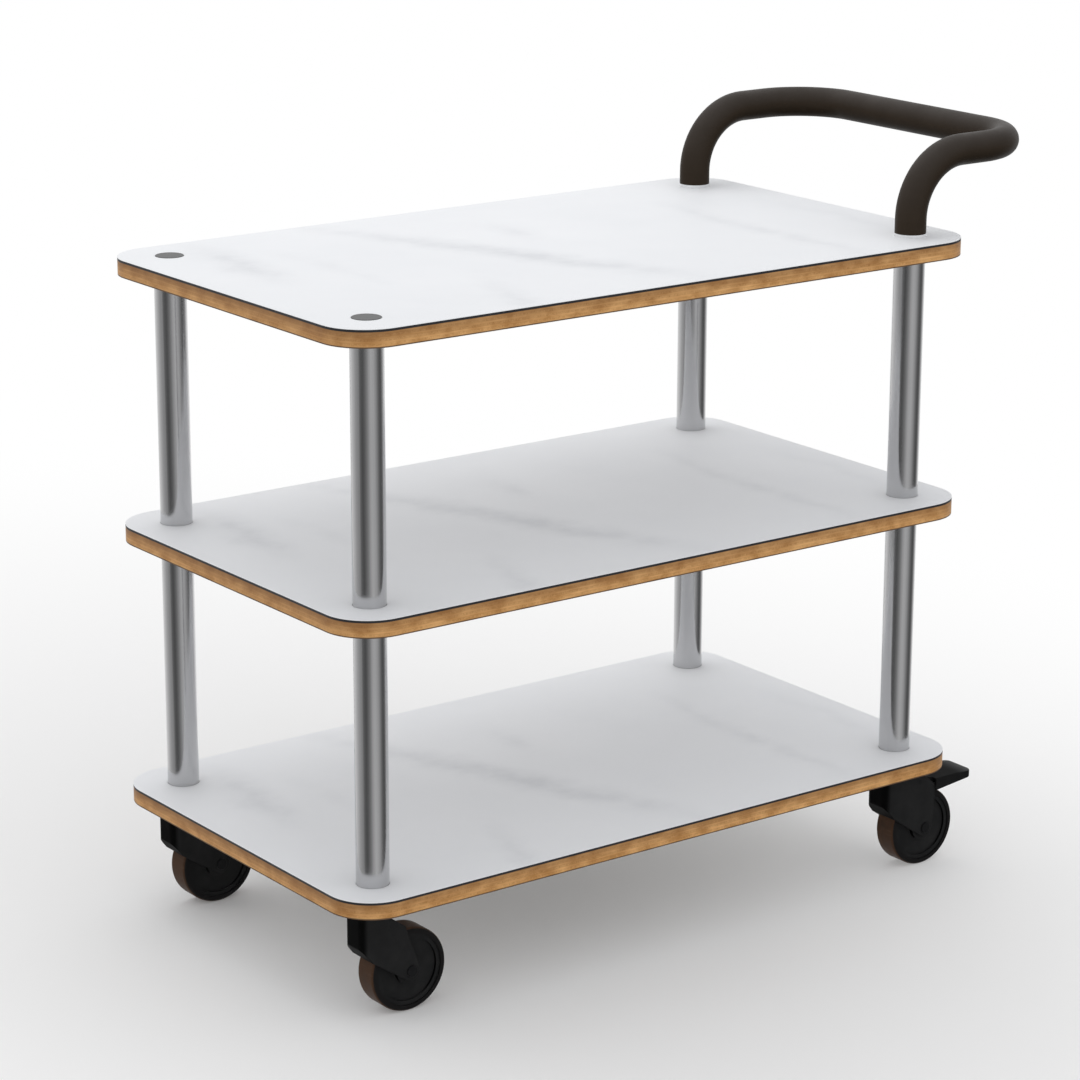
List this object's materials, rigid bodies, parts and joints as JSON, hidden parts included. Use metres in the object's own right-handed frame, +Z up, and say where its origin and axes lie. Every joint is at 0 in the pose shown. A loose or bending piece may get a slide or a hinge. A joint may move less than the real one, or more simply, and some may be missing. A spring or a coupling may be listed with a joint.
{
  "type": "service cart",
  "caption": "Service cart with tiered marble-look plywood shelves on steel tube posts, a bent tube push handle and swivel casters, some with brake pedals.",
  "frame": {"origin": "on the floor, in the middle of the cart's overall length and width", "axes": "+X along the shelves towards the handle end, +Y across the shelves, +Z up"},
  "size_m": [1.052, 0.53, 0.9226],
  "materials": {
    "plywood": "sanded and clear lacquered edge",
    "dark_backing": "dense dark resin layer",
    "marble_laminate": "satin white with faint grey veins",
    "post_steel": "polished stainless tube",
    "zinc_steel": "zinc plated",
    "bearing_steel": "ground",
    "black_steel": "black plated",
    "cap_metal": "satin",
    "dark_handle": "dark bronze satin coat",
    "pale_plastic": "smooth pale grey moulding",
    "black_moulding": "fine textured moulding",
    "brown_tread": "smooth cast tread"
  },
  "bodies": {
    "cart_frame": {"bottom_shelf_core": "plywood", "bottom_shelf_backing": "dark_backing", "bottom_shelf_laminate": "marble_laminate", "middle_shelf_core": "plywood", "middle_shelf_backing": "dark_backing", "middle_shelf_laminate": "marble_laminate", "top_shelf_core": "plywood", "top_shelf_backing": "dark_backing", "top_shelf_laminate": "marble_laminate", "lower_post_front_left": "post_steel", "lower_post_front_right": "post_steel", "lower_post_rear_left": "post_steel", "lower_post_rear_right": "post_steel", "upper_post_front_left": "post_steel", "upper_post_front_right": "post_steel", "upper_post_rear_left": "post_steel", "upper_post_rear_right": "post_steel", "post_plugs": "zinc_steel", "joining_studs": "zinc_steel", "cap_bolts": "zinc_steel", "cap_discs": "cap_metal", "handle_tube": "dark_handle", "handle_rings": "pale_plastic", "handle_plugs": "zinc_steel", "swivel_clips": "zinc_steel", "caster_stem_front_left": "zinc_steel", "caster_stem_front_right": "zinc_steel", "caster_stem_rear_left": "zinc_steel", "caster_stem_rear_right": "zinc_steel"},
    "caster_front_left": {"swivel_bearings_front_left": "bearing_steel", "fork_front_left": "black_moulding", "axle_front_left": "black_steel"},
    "wheel_front_left": {"wheel_core_front_left": "black_moulding", "wheel_tread_front_left": "brown_tread", "wheel_bearings_front_left": "bearing_steel"},
    "caster_front_right": {"swivel_bearings_front_right": "bearing_steel", "fork_front_right": "black_moulding", "axle_front_right": "black_steel"},
    "wheel_front_right": {"wheel_core_front_right": "black_moulding", "wheel_tread_front_right": "brown_tread", "wheel_bearings_front_right": "bearing_steel"},
    "caster_rear_left": {"swivel_bearings_rear_left": "bearing_steel", "fork_rear_left": "black_moulding", "axle_rear_left": "black_steel", "pedal_pin_rear_left": "black_steel"},
    "wheel_rear_left": {"wheel_core_rear_left": "black_moulding", "wheel_tread_rear_left": "brown_tread", "wheel_bearings_rear_left": "bearing_steel"},
    "caster_rear_right": {"swivel_bearings_rear_right": "bearing_steel", "fork_rear_right": "black_moulding", "axle_rear_right": "black_steel", "pedal_pin_rear_right": "black_steel"},
    "wheel_rear_right": {"wheel_core_rear_right": "black_moulding", "wheel_tread_rear_right": "brown_tread", "wheel_bearings_rear_right": "bearing_steel"},
    "pedal_rear_left": {"brake_pedal_rear_left": "black_moulding", "brake_shoe_rear_left": "zinc_steel"},
    "pedal_rear_right": {"brake_pedal_rear_right": "black_moulding", "brake_shoe_rear_right": "zinc_steel"}
  },
  "joints": [
    {"name": "swivel_front_left", "type": "hinge", "parent": "cart_frame", "child": "caster_front_left", "pos_m": [-0.467, -0.206, 0.10878], "axis": [0, 0, 1], "continuous": true},
    {"name": "wheel_spin_front_left", "type": "hinge", "parent": "caster_front_left", "child": "wheel_front_left", "pos_m": [-0.429, -0.206, 0.05], "axis": [0, 1, 0], "continuous": true},
    {"name": "swivel_front_right", "type": "hinge", "parent": "cart_frame", "child": "caster_front_right", "pos_m": [-0.467, 0.206, 0.10878], "axis": [0, 0, 1], "continuous": true},
    {"name": "wheel_spin_front_right", "type": "hinge", "parent": "caster_front_right", "child": "wheel_front_right", "pos_m": [-0.429, 0.206, 0.05], "axis": [0, 1, 0], "continuous": true},
    {"name": "swivel_rear_left", "type": "hinge", "parent": "cart_frame", "child": "caster_rear_left", "pos_m": [0.315, -0.206, 0.10878], "axis": [0, 0, 1], "continuous": true},
    {"name": "wheel_spin_rear_left", "type": "hinge", "parent": "caster_rear_left", "child": "wheel_rear_left", "pos_m": [0.353, -0.206, 0.05], "axis": [0, 1, 0], "continuous": true},
    {"name": "swivel_rear_right", "type": "hinge", "parent": "cart_frame", "child": "caster_rear_right", "pos_m": [0.315, 0.206, 0.10878], "axis": [0, 0, 1], "continuous": true},
    {"name": "wheel_spin_rear_right", "type": "hinge", "parent": "caster_rear_right", "child": "wheel_rear_right", "pos_m": [0.353, 0.206, 0.05], "axis": [0, 1, 0], "continuous": true},
    {"name": "pedal_press_rear_left", "type": "hinge", "parent": "caster_rear_left", "child": "pedal_rear_left", "pos_m": [0.34105, -0.206, 0.113], "axis": [0, 1, 0], "range_deg": [0, 8]},
    {"name": "pedal_press_rear_right", "type": "hinge", "parent": "caster_rear_right", "child": "pedal_rear_right", "pos_m": [0.34105, 0.206, 0.113], "axis": [0, 1, 0], "range_deg": [0, 8]}
  ]
}
